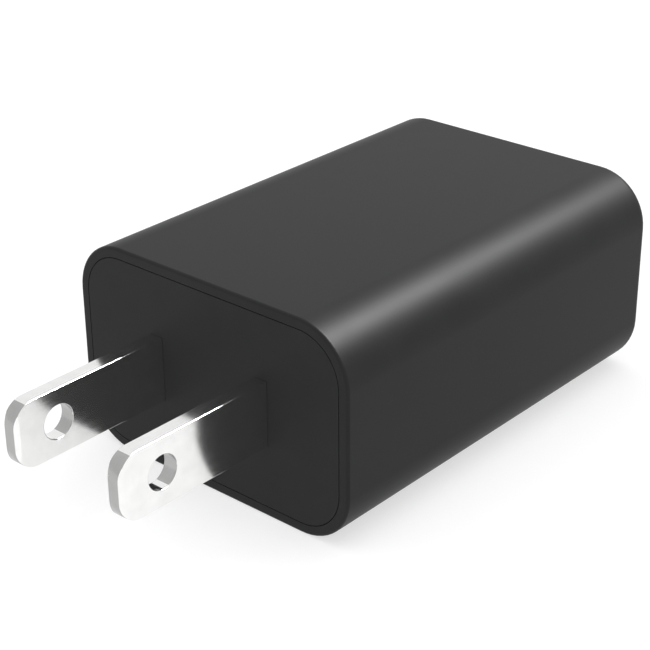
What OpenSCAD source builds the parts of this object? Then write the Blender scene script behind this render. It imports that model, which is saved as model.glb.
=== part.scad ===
// USB wall charger: a rounded block with two fixed plug blades and one USB-A port.
// Frame: +X to the right, +Y from the blades to the port, +Z up. The origin is midway
// along the whole length, on the surface that the body lies on.

/* [Body] */
// Width of the body
body_w = 32.4; // [32.4:0.2:38]
// Height of the body
body_h = 20.8; // [20.8:0.2:25]
// Length of the body without the blades
body_l = 45.6; // [45.6:0.2:55]
// Radius of the four long edges
corner_r = 5.4; // [4.6:0.1:5.8]
// Radius round the edge of the port face
back_edge_r = 1; // [0.6:0.1:1.2]
// Radius round the edge of the plug face
front_edge_r = 0.3; // [0.2:0.1:0.5]
// Wall thickness of the housing
wall = 1.8; // [1.6:0.1:1.8]

/* [Blade plate] */
// Thickness of the plate that closes the plug end
plate_t = 1.8; // [1.4:0.1:2]
// Width of the housing rim that shows round the plate
plate_rim = 1; // [0.8:0.1:1.2]
// Open seam between the rim and the plate
seam = 0.06; // [0.04:0.01:0.1]
// Depth of the block that grips the blade roots
boss_l = 3; // [2.6:0.1:3]

/* [Blades] */
// Distance between the blade centres
blade_pitch = 12.7; // [12.5:0.1:12.9]
// Width of a blade, which stands upright
blade_w = 6.35; // [6.1:0.05:6.6]
// Thickness of a blade
blade_t = 1.5; // [1.4:0.05:1.6]
// Length of a blade in front of the plug face
blade_l = 17.1; // [16:0.1:18]
// Diameter of the hole near the tip
blade_hole_d = 3.2; // [3:0.1:3.4]
// Distance from the plug face to the middle of the hole
blade_hole_y = 12.4; // [11.8:0.1:12.6]

/* [Port] */
// Width inside the metal shell
port_w = 12.5; // [12.4:0.1:12.6]
// Height inside the metal shell
port_h = 5.12; // [5.02:0.1:5.22]
// Length of the receptacle
port_l = 14; // [13.6:0.1:14]
// Depth of the receptacle's mouth below the port face
port_recess = 0.3; // [0.1:0.1:0.5]
// Angle that a plug presses the contacts back, 0 with the port empty
contact_angle = 0; // [0:0.2:3.2]

/* [Circuit board] */
// Thickness of the board
board_t = 1.2; // [1:0.1:1.6]
// Gap between each side of the board and the wall
board_gap = 0.7; // [0.6:0.1:0.8]
// Diameter of the lying input capacitors
bulk_d = 8; // [7:0.5:8]
// Length of the lying input capacitors
bulk_l = 11.8; // [10:0.2:11.8]
// Diameter of the standing output capacitors
output_d = 6.3; // [5:0.1:6.3]

/* [Hidden] */
$fn = 48;
eps = 0.01;

// Places along Y and Z that everything else is set from
back_y = (body_l + blade_l) / 2;
front_y = back_y - body_l;
mid_z = body_h / 2;
cavity_w = body_w - 2 * wall;
cavity_h = body_h - 2 * wall;
cavity_r = corner_r - wall;
cavity_back_y = back_y - wall;
plate_back_y = front_y + plate_t;
boss_back_y = plate_back_y + boss_l;

// USB receptacle
sheet_t = 0.3;
port_corner_r = 0.5;
port_mouth_y = back_y - port_recess;
port_rear_y = port_mouth_y - port_l;
port_floor_z = mid_z - port_h / 2;
port_roof_z = mid_z + port_h / 2;
aperture_gap = 0.15;
leg_w = 2.2;
leg_y = [port_mouth_y - 8.2, port_mouth_y - 3.6];
spring_window = [2.2, 5.6];
spring_arm_w = 1.6;
spring_x = 2.9;
spring_y = port_mouth_y - 8.4;
spring_rise = 0.35;

// Tongue and contacts. A contact's beam turns about its root, a round bar along X.
tongue_w = 11.1;
tongue_t = 1.84;
tongue_tip_y = port_mouth_y - 1.15;
tongue_root_y = tongue_tip_y - 8.8;
channel_w = 1.3;
channel_depth = 1;
channel_lip = 0.6;
contact_x = [-3.5, -1, 1, 3.5];
contact_w = 1;
contact_t = 0.2;
contact_root = [tongue_root_y + 0.8, mid_z + 0.5];
contact_root_r = 0.22;
contact_bump = [tongue_tip_y - 1.9, mid_z - 0.35];
contact_tip = [tongue_tip_y - 1, mid_z + 0.18];
root_clearance = 0.04;
tail_y = port_rear_y + 1.4;

// Circuit board, which carries the receptacle on its upper face
board_top_z = port_floor_z - sheet_t;
board_bottom_z = board_top_z - board_t;
board_w = cavity_w - 2 * board_gap;
board_front_y = boss_back_y + 0.25;
board_back_y = cavity_back_y - 0.35;
rail_reach = 1.2;
rail_t = 1.1;
lead_r = 0.3;
hole_gap = 0.1;
lead_end_z = board_bottom_z - 1.2;

// Parts in front of the transformer
mains_hole = [9.6, board_front_y + 1.9];
mains_wire_r = 0.65;
mains_core_r = 0.4;
mains_bend_r = 1.1;
bulk_x = 1.1;
bulk_y = board_front_y + 9;
bulk_z = board_top_z + bulk_d / 2 + 0.1;
bulk_lead_x = 0.6;
bulk_lead_gap = 3.5;

// Transformer: two E cores that meet in the middle of a bobbin whose axis runs along Y
core_w = 13.3;
core_l = 12.2;
core_t = 6;
core_back_t = 1.5;
core_leg_w = 1.65;
core_centre_w = 2.7;
core_y = port_rear_y - 0.5 - core_l / 2;
core_z = board_top_z + 5.6;
core_air_gap = 0.3;
core_tape_t = 0.1;
core_tape_h = 3.6;
core_tape_gap = 0.02;
bobbin_wall = 0.6;
bobbin_l = 9;
flange_t = 0.7;
flange = [9.6, 10.4];
primary_t = 0.75;
secondary_t = 0.45;
tape_t = 0.1;
layer_gap = 0.01;
bobbin_hole = [core_centre_w + 0.2, core_t + 0.2];
tube_size = bobbin_hole + 2 * [bobbin_wall, bobbin_wall];
tube_r = 0.3;
primary_size = tube_size + 2 * [primary_t, primary_t];
primary_r = tube_r + primary_t;
secondary_size = primary_size + 2 * [secondary_t, secondary_t];
secondary_r = primary_r + secondary_t;
pin_x = [-5, -2, 2, 5];
pin_r = 0.3;
pin_depth = 1.2;
rail_block = [12, 2.2, 1.9];

// Parts beside the transformer and the receptacle
choke_xy = [-10.3, core_y - 3.2];
choke_size = [5, 6.8];
choke_flange = 1;
choke_lead_gap = 2.5;
fuse_xy = [-11, core_y + 3];
fuse_size = [2.6, 7];
fuse_sleeve_t = 0.25;
fuse_return_x = -8.2;
fuse_lead_rise = 0.3;
y_cap_xy = [10.3, core_y];
y_cap_size = [7, 3];
y_cap_lead_gap = 5;
output_xy = [9.95, port_mouth_y - 7.6];
output_h = 9;
output_lead_gap = 2.5;
stand_off = 0.3;

// Electrolytic cans: edge radius, lip of the open end, and depth of the bung in it
can_edge = 0.4;
can_lip = 0.3;
bung_depth = 0.6;
bung_gap = 0.02;

// Chips under the board: body size, and places of the small ones
bridge_size = [4.7, 3.8, 2.3];
controller_size = [4.9, 3.8, 1.4];
clamp_size = [2.6, 4.2, 2];
output_diode_size = [5.8, 6.6, 2.1];
chip_gap = 0.15;
chip_lead_t = 0.2;
resistor_size = [3.2, 1.6, 0.55];
capacitor_size = [2.6, 1.5, 0.9];
end_cap_l = 0.5;
end_cap_proud = 0.04;
resistor_places = [
    [4.9, board_front_y + 9.4], [-4.9, board_front_y + 9.4], [-4.9, board_front_y + 11.4],
    [9.6, core_y - 5], [9.6, core_y + 5.2], [-7.6, core_y - 5], [6.2, core_y + 2.4]
];
capacitor_places = [
    [-9.6, board_front_y + 9.4], [6.2, core_y - 2.6], [0, board_front_y + 2.4],
    [-5.2, core_y + 2.2], [0, port_mouth_y - 6.6]
];

// Where every lead passes through the board
pin_y = [core_y - core_l / 2 + 0.8, core_y + core_l / 2 - 0.8];
wire_holes = [
    for (s = [-1, 1]) [s * mains_hole.x, mains_hole.y]
];
lead_holes = [
    for (s = [-1, 1], t = [-1, 1]) [s * bulk_lead_x, bulk_y + t * bulk_lead_gap / 2],
    for (t = [-1, 1]) [choke_xy.x, choke_xy.y + t * choke_lead_gap / 2],
    fuse_xy,
    [fuse_return_x, fuse_xy.y],
    for (t = [-1, 1]) [y_cap_xy.x, y_cap_xy.y + t * y_cap_lead_gap / 2],
    for (s = [-1, 1], t = [-1, 1]) [s * output_xy.x, output_xy.y + t * output_lead_gap / 2],
    for (x = pin_x, y = pin_y) [x, y]
];

// --- shared shapes -----------------------------------------------------------------

// Rectangle with round corners, centred
module rounded_rect(w, h, r) {
    square([w - 2 * r, h], center = true);
    square([w, h - 2 * r], center = true);
    for (x = [-1, 1], y = [-1, 1])
        translate([x * (w / 2 - r), y * (h / 2 - r)])
            circle(r);
}

// Sweeps an outline drawn in X and Z along Y
module along_y(y0, y1) {
    translate([0, y1, 0])
        rotate([90, 0, 0])
            linear_extrude(y1 - y0)
                children();
}

// Sweeps an outline drawn in Y and Z along X
module along_x(x0, x1) {
    translate([x0, 0, 0])
        rotate([90, 0, 90])
            linear_extrude(x1 - x0)
                children();
}

// Box between two corners
module span(a, b) {
    translate(a)
        cube(b - a);
}

// Upright round bar between two heights
module post(xy, r, z0, z1) {
    translate([xy.x, xy.y, z0])
        cylinder(r = r, h = z1 - z0);
}

// --- body --------------------------------------------------------------------------

// Section through one long edge of the body, from the edge's axis outwards
module edge_section() {
    translate([0, front_edge_r])
        square([corner_r, body_l - front_edge_r - back_edge_r]);
    square([corner_r - front_edge_r, body_l / 2]);
    translate([corner_r - front_edge_r, front_edge_r])
        circle(front_edge_r);
    translate([0, body_l / 2])
        square([corner_r - back_edge_r, body_l / 2]);
    translate([corner_r - back_edge_r, body_l - back_edge_r])
        circle(back_edge_r);
}

// Straight stretch of the body's outer skin, along one side
module side_stretch(reach, length) {
    translate([reach, length / 2, 0])
        rotate([90, 0, 0])
            linear_extrude(length)
                edge_section();
}

// Outer form of the body: round long edges, with a radius at each end
module body_form() {
    dx = body_w / 2 - corner_r;
    dz = body_h / 2 - corner_r;
    translate([0, front_y, mid_z])
        rotate([-90, 0, 0]) {
            translate([-dx, -dz, 0])
                cube([2 * dx, 2 * dz, body_l]);
            for (turn = [0, 180])
                rotate([0, 0, turn]) {
                    side_stretch(dx, 2 * dz);
                    rotate([0, 0, 90])
                        side_stretch(dz, 2 * dx);
                    translate([dx, dz, 0])
                        rotate_extrude(angle = 90)
                            edge_section();
                    translate([-dx, dz, 0])
                        rotate([0, 0, 90])
                            rotate_extrude(angle = 90)
                                edge_section();
                }
        }
}

module housing_shell() {
    mouth_w = body_w - 2 * plate_rim;
    mouth_h = body_h - 2 * plate_rim;
    hole_w = port_w + 2 * (sheet_t + aperture_gap);
    hole_h = port_h + 2 * (sheet_t + aperture_gap);
    color("#2b2c2e")
        difference() {
            union() {
                difference() {
                    body_form();
                    along_y(front_y - 1, cavity_back_y)
                        translate([0, mid_z])
                            rounded_rect(cavity_w, cavity_h, cavity_r);
                    along_y(front_y - 1, plate_back_y)
                        translate([0, mid_z])
                            rounded_rect(mouth_w, mouth_h, corner_r - plate_rim);
                }
                for (side = [0, 1], z = [board_bottom_z - rail_t, board_top_z])
                    mirror([side, 0, 0])
                        span([cavity_w / 2 - rail_reach, board_front_y, z],
                             [cavity_w / 2 + wall / 2, cavity_back_y + wall / 2, z + rail_t]);
            }
            along_y(cavity_back_y - 1, back_y + 1)
                translate([0, mid_z])
                    rounded_rect(hole_w, hole_h, port_corner_r + sheet_t);
        }
}

module blade_plate() {
    inset = plate_rim + seam;
    skirt_gap = 0.1;
    skirt_t = 0.9;
    skirt_l = 1.6;
    boss_w = blade_pitch + 5;
    boss_h = 10;
    color("#2b2c2e")
        difference() {
            union() {
                along_y(front_y, plate_back_y)
                    translate([0, mid_z])
                        rounded_rect(body_w - 2 * inset, body_h - 2 * inset, corner_r - inset);
                along_y(plate_back_y - eps, plate_back_y + skirt_l)
                    translate([0, mid_z])
                        difference() {
                            rounded_rect(cavity_w - 2 * skirt_gap, cavity_h - 2 * skirt_gap,
                                         cavity_r - skirt_gap);
                            rounded_rect(cavity_w - 2 * (skirt_gap + skirt_t),
                                         cavity_h - 2 * (skirt_gap + skirt_t),
                                         cavity_r - skirt_gap - skirt_t);
                        }
                span([-boss_w / 2, plate_back_y - eps, mid_z - boss_h / 2],
                     [boss_w / 2, boss_back_y, mid_z + boss_h / 2]);
            }
            for (side = [-1, 1])
                blade_form(side);
        }
}

// --- blades and mains leads --------------------------------------------------------

// Side view of a blade: round tip, hole, lock notches in the plate, and a narrow tail
module blade_outline() {
    tip_r = 2.2;
    tail_w = 3.4;
    tail_end_y = mains_hole.y + 1.3;
    notch = [1.2, 0.9];
    notch_y = plate_back_y + 0.6;
    difference() {
        union() {
            translate([front_y - blade_l + tip_r, mid_z - blade_w / 2])
                square([blade_l - tip_r + boss_back_y - front_y, blade_w]);
            translate([front_y - blade_l, mid_z - blade_w / 2 + tip_r])
                square([tip_r + 1, blade_w - 2 * tip_r]);
            for (z = [-1, 1])
                translate([front_y - blade_l + tip_r, mid_z + z * (blade_w / 2 - tip_r)])
                    circle(tip_r);
            translate([boss_back_y - 1, mid_z - tail_w / 2])
                square([tail_end_y - boss_back_y + 1, tail_w]);
        }
        translate([front_y - blade_hole_y, mid_z])
            circle(d = blade_hole_d);
        translate([mains_hole.y, mid_z])
            circle(mains_core_r + hole_gap);
        for (z = [-1, 1])
            translate([notch_y, mid_z + z * blade_w / 2 - notch.y / 2])
                square(notch);
    }
}

// Top view of a blade, whose faces slope in at the tip
module blade_plan() {
    slope_l = 0.5;
    tip_t = 1.2;
    tip_y = front_y - blade_l;
    end_y = mains_hole.y + 2;
    polygon([
        [-tip_t / 2, tip_y], [tip_t / 2, tip_y], [blade_t / 2, tip_y + slope_l],
        [blade_t / 2, end_y], [-blade_t / 2, end_y], [-blade_t / 2, tip_y + slope_l]
    ]);
}

module blade_form(side) {
    translate([side * blade_pitch / 2, 0, 0])
        intersection() {
            along_x(-blade_t, blade_t)
                blade_outline();
            translate([0, 0, mid_z - blade_w])
                linear_extrude(2 * blade_w)
                    blade_plan();
        }
}

module blade_left() {
    color("#d4d5d6")
        blade_form(-1);
}

module blade_right() {
    color("#d4d5d6")
        blade_form(1);
}

// Insulated lead from the eye in a blade's tail, out and down to the board
module mains_lead(side) {
    bare = 0.5;
    start_x = blade_pitch / 2 - blade_t / 2 - 0.3;
    jacket_x = blade_pitch / 2 + blade_t / 2 + bare;
    bend_x = mains_hole.x - mains_bend_r;
    mirror([side < 0 ? 1 : 0, 0, 0])
        translate([0, mains_hole.y, 0]) {
            translate([start_x, 0, mid_z])
                rotate([0, 90, 0])
                    cylinder(r = mains_core_r, h = jacket_x - start_x + 0.2);
            translate([jacket_x, 0, mid_z])
                rotate([0, 90, 0])
                    cylinder(r = mains_wire_r, h = bend_x - jacket_x);
            translate([bend_x, 0, mid_z - mains_bend_r])
                rotate([90, 0, 0])
                    rotate_extrude(angle = 90)
                        translate([mains_bend_r, 0])
                            circle(mains_wire_r);
            post([mains_hole.x, 0], mains_wire_r, board_top_z + bare, mid_z - mains_bend_r);
            post([mains_hole.x, 0], mains_core_r, lead_end_z, board_top_z + bare + 0.2);
        }
}

module live_lead() {
    color("#8c2320")
        mains_lead(1);
}

module neutral_lead() {
    color("#26282b")
        mains_lead(-1);
}

// --- board and its parts -----------------------------------------------------------

module main_board() {
    corner = 1;
    slot = [4.2, 1];
    board_l = board_back_y - board_front_y;
    color("#8a7a3c")
        translate([0, 0, board_bottom_z])
            linear_extrude(board_t)
                difference() {
                    translate([0, board_front_y + board_l / 2])
                        rounded_rect(board_w, board_l, corner);
                    for (p = wire_holes)
                        translate(p)
                            circle(mains_core_r + hole_gap);
                    for (p = lead_holes)
                        translate(p)
                            circle(lead_r + hole_gap);
                    for (x = contact_x)
                        translate([x, tail_y])
                            circle(contact_w / 2 + hole_gap);
                    for (s = [-1, 1], y = leg_y)
                        translate([s * (port_w + sheet_t) / 2, y])
                            square([sheet_t + 4 * hole_gap, leg_w + 4 * hole_gap], center = true);
                    translate(y_cap_xy)
                        square(slot, center = true);
                }
}

// Standing fusible resistor: a ceramic rod with a cap at each end
module fuse_resistor() {
    cap_l = 1.2;
    waist = 0.15;
    z0 = board_top_z + stand_off;
    color("#5f8f86") {
        post(fuse_xy, fuse_size.x / 2 - waist, z0 + cap_l / 2, z0 + fuse_size.y - cap_l / 2);
        for (z = [z0, z0 + fuse_size.y - cap_l])
            post(fuse_xy, fuse_size.x / 2, z, z + cap_l);
    }
}

module fuse_sleeve() {
    sleeve_gap = 0.03;
    r = fuse_size.x / 2 + sleeve_gap;
    z0 = board_top_z + sleeve_gap;
    color("#1f2022")
        difference() {
            post(fuse_xy, r + fuse_sleeve_t, z0, z0 + fuse_size.y - 1);
            post(fuse_xy, r, z0 - 1, z0 + fuse_size.y);
        }
}

// Ferrite bobbin of the input choke, and the coil in its waist
module choke_core() {
    z0 = board_top_z + stand_off;
    color("#3b3b3d") {
        for (z = [z0, z0 + choke_size.y - choke_flange])
            post(choke_xy, choke_size.x / 2, z, z + choke_flange);
        post(choke_xy, choke_size.x / 4, z0, z0 + choke_size.y);
    }
}

module choke_winding() {
    end_gap = 0.05;
    core_gap = 0.02;
    inset = 0.25;
    z0 = board_top_z + stand_off + choke_flange + end_gap;
    z1 = board_top_z + stand_off + choke_size.y - choke_flange - end_gap;
    color("#9c5a2c")
        difference() {
            post(choke_xy, choke_size.x / 2 - inset, z0, z1);
            post(choke_xy, choke_size.x / 4 + core_gap, z0 - 1, z1 + 1);
        }
}

// Can of an electrolytic capacitor along +Z: a crimp groove near the open end at
// z = 0, and three shallow vent grooves across the closed end
module capacitor_can(d, l) {
    edge = can_edge;
    crimp_z = 1.6;
    crimp_r = 0.35;
    vent = [d * 0.6, 0.4, 0.2];
    difference() {
        rotate_extrude()
            difference() {
                union() {
                    square([d / 2 - edge, l]);
                    translate([0, edge])
                        square([d / 2, l - 2 * edge]);
                    for (z = [edge, l - edge])
                        translate([d / 2 - edge, z])
                            circle(edge);
                }
                translate([d / 2 + crimp_r / 2, crimp_z])
                    circle(crimp_r);
                square([d / 2 - edge - can_lip, bung_depth]);
            }
        for (turn = [0, 60, 120])
            translate([0, 0, l])
                rotate([0, 0, turn])
                    cube([vent.x, vent.y, 2 * vent.z], center = true);
    }
}

// Rubber bung in the open end of a can along +Z
module capacitor_seal(d) {
    cylinder(r = d / 2 - can_edge - can_lip - bung_gap, h = bung_depth - bung_gap);
}

module lay_bulk(side) {
    translate([side * bulk_x, bulk_y, bulk_z])
        rotate([0, side * 90, 0])
            children();
}

module bulk_capacitor(side) {
    color("#30343c")
        lay_bulk(side)
            capacitor_can(bulk_d, bulk_l);
}

module bulk_seal(side) {
    color("#2a2624")
        lay_bulk(side)
            capacitor_seal(bulk_d);
}

module stand_output(side) {
    translate([side * output_xy.x, output_xy.y, board_top_z + stand_off])
        children();
}

module output_capacitor(side) {
    color("#2c4a3c")
        stand_output(side)
            capacitor_can(output_d, output_h);
}

module output_seal(side) {
    color("#2a2624")
        stand_output(side)
            capacitor_seal(output_d);
}

// Chip package under the board, with flat leads on both sides along Y and a dimple
// beside its first lead
module chip(xy, size, lead_count, lead_w, lead_reach) {
    lead_t = chip_lead_t;
    pitch = size.x / lead_count;
    body_z = board_bottom_z - chip_gap - size.z / 2;
    drop = board_bottom_z - body_z + lead_t / 2;
    knee = 0.3;
    dimple = [0.3, 0.1];
    dimple_in = 0.7;
    underside_z = body_z - size.z / 2;
    difference() {
        union() {
            translate([xy.x, xy.y, body_z])
                cube([size.x, size.y, size.z], center = true);
            for (i = [0:lead_count - 1], s = [-1, 1]) {
                x = xy.x + (i - (lead_count - 1) / 2) * pitch;
                translate([x, xy.y + s * size.y / 2, body_z])
                    cube([lead_w, 2 * (knee + lead_t / 2), lead_t], center = true);
                translate([x, xy.y + s * (size.y / 2 + knee), board_bottom_z - drop / 2])
                    cube([lead_w, lead_t, drop], center = true);
                translate([x, xy.y + s * (size.y + lead_reach) / 2, board_bottom_z - lead_t / 2])
                    cube([lead_w, lead_reach, lead_t], center = true);
            }
        }
        post([xy.x - size.x / 2 + dimple_in, xy.y - size.y / 2 + dimple_in], dimple.x,
             underside_z - 1, underside_z + dimple.y);
    }
}

module bridge_rectifier() {
    color("#1d1e20")
        chip([-6.1, board_front_y + 4.2], bridge_size, 2, 0.7, 1.2);
}

module controller_chip() {
    color("#1d1e20")
        chip([4.9, board_front_y + 4], controller_size, 4, 0.4, 1.1);
}

module clamp_diode() {
    color("#1d1e20")
        chip([9.6, board_front_y + 9.4], clamp_size, 1, 1.4, 1.2);
}

module output_diode() {
    color("#1d1e20")
        chip([0, core_y], output_diode_size, 1, 3, 1.2);
}

// Small two-ended chip: a body between two end caps, which stand a little proud of it
module chip_part(xy, size) {
    proud = 2 * end_cap_proud;
    translate([xy.x, xy.y, board_bottom_z - size.z / 2])
        cube([size.x - end_cap_l, size.y - proud, size.z - proud], center = true);
    for (s = [-1, 1])
        translate([xy.x + s * (size.x - end_cap_l) / 2, xy.y, board_bottom_z - size.z / 2])
            cube([end_cap_l, size.y, size.z], center = true);
}

module chip_resistors() {
    color("#202124")
        for (p = resistor_places)
            chip_part(p, resistor_size);
}

module chip_capacitors() {
    color("#9a7b55")
        for (p = capacitor_places)
            chip_part(p, capacitor_size);
}

// Disc capacitor that bridges the two halves of the circuit
module y_capacitor() {
    edge = 0.8;
    color("#2f5f9e")
        translate([y_cap_xy.x, y_cap_xy.y, board_top_z + stand_off + 0.5 + y_cap_size.x / 2])
            rotate([0, 90, 0])
                translate([0, 0, -y_cap_size.y / 2])
                    rotate_extrude() {
                        square([y_cap_size.x / 2 - edge, y_cap_size.y]);
                        translate([0, edge])
                            square([y_cap_size.x / 2, y_cap_size.y - 2 * edge]);
                        for (z = [edge, y_cap_size.y - edge])
                            translate([y_cap_size.x / 2 - edge, z])
                                circle(edge);
                    }
}

// --- transformer -------------------------------------------------------------------

// Ring of one wall thickness round a rounded rectangle measured in X and Z
module coil_layer(core, core_r, wall_t, end_gap) {
    inner = core + 2 * [layer_gap, layer_gap];
    inner_r = core_r + layer_gap;
    outer = core + 2 * [wall_t, wall_t];
    half_l = (bobbin_l - 2 * flange_t - end_gap) / 2;
    along_y(core_y - half_l, core_y + half_l)
        translate([0, core_z])
            difference() {
                rounded_rect(outer.x, outer.y, core_r + wall_t);
                rounded_rect(inner.x, inner.y, inner_r);
            }
}

module transformer_bobbin() {
    pin_gap = 0.02;
    rail_z = board_top_z + stand_off;
    color("#1c2a24")
        difference() {
            union() {
                along_y(core_y - bobbin_l / 2, core_y + bobbin_l / 2)
                    translate([0, core_z])
                        rounded_rect(tube_size.x, tube_size.y, tube_r);
                for (s = [-1, 1]) {
                    translate([0, core_y + s * (bobbin_l - flange_t) / 2, core_z])
                        cube([flange.x, flange_t, flange.y], center = true);
                    translate([0, core_y + s * (core_l / 2 - rail_block.y / 2), rail_z + rail_block.z / 2])
                        cube(rail_block, center = true);
                }
            }
            along_y(core_y - bobbin_l, core_y + bobbin_l)
                translate([0, core_z])
                    square(bobbin_hole, center = true);
            for (x = pin_x, y = pin_y)
                post([x, y], pin_r + pin_gap, rail_z - 1, rail_z + pin_depth + pin_gap);
        }
}

module primary_winding() {
    color("#a8622f")
        coil_layer(tube_size, tube_r, primary_t, 0.2);
}

module secondary_winding() {
    color("#c9a24a")
        coil_layer(primary_size, primary_r, secondary_t, 1);
}

module winding_tape() {
    color("#d9b84a")
        coil_layer(secondary_size, secondary_r, tape_t, 0.1);
}

// One E core, with its back towards -Y and its legs ending at the middle
module core_half() {
    half_l = core_l / 2;
    color("#4a4a4c")
        translate([0, core_y, core_z - core_t / 2])
            linear_extrude(core_t)
                translate([0, -half_l]) {
                    translate([-core_w / 2, 0])
                        square([core_w, core_back_t]);
                    for (x = [-core_w / 2, core_w / 2 - core_leg_w])
                        translate([x, 0])
                            square([core_leg_w, half_l]);
                    translate([-core_centre_w / 2, 0])
                        square([core_centre_w, half_l - core_air_gap / 2]);
                }
}

module core_front() {
    core_half();
}

module core_rear() {
    translate([0, 2 * core_y, 0])
        mirror([0, 1, 0])
            core_half();
}

// Band of tape round both cores
module core_tape() {
    inner = [core_w, core_l] + 2 * [core_tape_gap, core_tape_gap];
    color("#d9b84a")
        translate([0, core_y, core_z - core_tape_h / 2])
            linear_extrude(core_tape_h)
                difference() {
                    square(inner + 2 * [core_tape_t, core_tape_t], center = true);
                    square(inner, center = true);
                }
}

module transformer_pins() {
    color("#c8c8c4")
        for (x = pin_x, y = pin_y)
            post([x, y], pin_r, lead_end_z, board_top_z + stand_off + pin_depth);
}

// --- leads, solder and insulation --------------------------------------------------

// Lead that leaves a lying capacitor along X and bends down through the board
module bent_lead(side, y) {
    bend_r = bulk_x - bulk_lead_x;
    mirror([side < 0 ? 1 : 0, 0, 0])
        translate([bulk_x, y, bulk_z - bend_r])
            rotate([90, 0, 0])
                rotate_extrude(angle = 90, start = 90)
                    translate([bend_r, 0])
                        circle(lead_r);
    post([side * bulk_lead_x, y], lead_r, lead_end_z, bulk_z - bend_r);
}

// Lead that comes out of the top of the standing resistor and turns back down
module hairpin_lead() {
    bend_r = (fuse_return_x - fuse_xy.x) / 2;
    top_z = board_top_z + stand_off + fuse_size.y;
    bend_z = top_z + fuse_lead_rise;
    post(fuse_xy, lead_r, top_z, bend_z);
    translate([fuse_xy.x + bend_r, fuse_xy.y, bend_z])
        rotate([90, 0, 0])
            rotate_extrude(angle = 180)
                translate([bend_r, 0])
                    circle(lead_r);
    post([fuse_return_x, fuse_xy.y], lead_r, lead_end_z, bend_z);
}

module component_leads() {
    disc_lead_h = 1.2;
    top_z = board_top_z + stand_off;
    color("#c8c8c4") {
        for (s = [-1, 1], t = [-1, 1]) {
            bent_lead(s, bulk_y + t * bulk_lead_gap / 2);
            post([s * output_xy.x, output_xy.y + t * output_lead_gap / 2], lead_r, lead_end_z, top_z);
        }
        for (t = [-1, 1]) {
            post([choke_xy.x, choke_xy.y + t * choke_lead_gap / 2], lead_r, lead_end_z, top_z);
            post([y_cap_xy.x, y_cap_xy.y + t * y_cap_lead_gap / 2], lead_r, lead_end_z,
                 top_z + disc_lead_h);
        }
        post(fuse_xy, lead_r, lead_end_z, top_z);
        hairpin_lead();
    }
}

// Cone of solder under the board round each lead
module solder_joints() {
    color("#b9bbbd") {
        for (p = lead_holes)
            solder_cone(p, lead_r);
        for (p = wire_holes)
            solder_cone(p, mains_core_r);
    }
}

module solder_cone(xy, r) {
    h = 0.9;
    tip_t = 0.15;
    foot_t = 0.5;
    gap = 0.02;
    difference() {
        translate([xy.x, xy.y, board_bottom_z - h])
            cylinder(r1 = r + tip_t, r2 = r + foot_t, h = h);
        post(xy, r + gap, board_bottom_z - h - 1, board_bottom_z + 1);
    }
}

// Sheet that keeps the transformer apart from the receptacle
module insulating_sheet() {
    sheet_y = port_rear_y - 0.25;
    half_t = 0.1;
    side_gap = 0.8;
    top_gap = 3;
    color("#e6e2d2")
        span([-board_w / 2 + side_gap, sheet_y - half_t, board_top_z],
             [board_w / 2 - side_gap, sheet_y + half_t, mid_z + cavity_h / 2 - top_gap]);
}

// --- USB receptacle ----------------------------------------------------------------

// Spring arm in the shell's roof, bent inwards so that it grips the plug's shell.
// Points are [distance in front of the arm's root, height below the roof's inner face].
module roof_arm() {
    reach = spring_window.y - 0.3;
    bump = reach - 1.2;
    z = port_roof_z;
    y = spring_y;
    along_x(-spring_arm_w / 2, spring_arm_w / 2)
        polygon([
            [y - 0.3, z], [y, z], [y + bump, z - spring_rise], [y + reach, z - 0.05],
            [y + reach, z + sheet_t - 0.05], [y + bump, z - spring_rise + sheet_t],
            [y, z + sheet_t], [y - 0.3, z + sheet_t]
        ]);
}

module usb_shell() {
    outer = [port_w + 2 * sheet_t, port_h + 2 * sheet_t];
    floor_cut_w = 9;
    color("#c2c4c6") {
        difference() {
            along_y(port_rear_y, port_mouth_y)
                translate([0, mid_z])
                    rounded_rect(outer.x, outer.y, port_corner_r + sheet_t);
            along_y(port_rear_y + sheet_t, port_mouth_y + 1)
                translate([0, mid_z])
                    rounded_rect(port_w, port_h, port_corner_r);
            span([-floor_cut_w / 2, port_rear_y - 1, port_floor_z - 1],
                 [floor_cut_w / 2, tail_y + 0.6, port_floor_z + 1]);
            for (x = [-spring_x, spring_x])
                translate([x - spring_window.x / 2, spring_y, mid_z - port_h])
                    cube([spring_window.x, spring_window.y, 2 * port_h]);
        }
        for (x = [-spring_x, spring_x], flip = [0, 1])
            translate([x, 0, mid_z])
                mirror([0, 0, flip])
                    translate([0, 0, -mid_z])
                        roof_arm();
        for (s = [0, 1], y = leg_y)
            mirror([s, 0, 0])
                span([port_w / 2, y - leg_w / 2, lead_end_z],
                     [outer.x / 2, y + leg_w / 2, mid_z]);
    }
}

// Moulded insulator: a block at the back of the shell, and the tongue in front of it
module usb_insulator() {
    gap = 0.05;
    color("#e9e9e6")
        difference() {
            union() {
                along_y(port_rear_y + sheet_t, tongue_root_y)
                    translate([0, mid_z])
                        rounded_rect(port_w - 2 * gap, port_h - 2 * gap, port_corner_r);
                span([-tongue_w / 2, tongue_root_y - 1, mid_z],
                     [tongue_w / 2, tongue_tip_y, mid_z + tongue_t]);
            }
            for (x = contact_x) {
                span([x - channel_w / 2, tongue_root_y, mid_z - eps],
                     [x + channel_w / 2, tongue_tip_y - channel_lip, mid_z + channel_depth]);
                contact_tail(x, 0);
            }
        }
}

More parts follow.
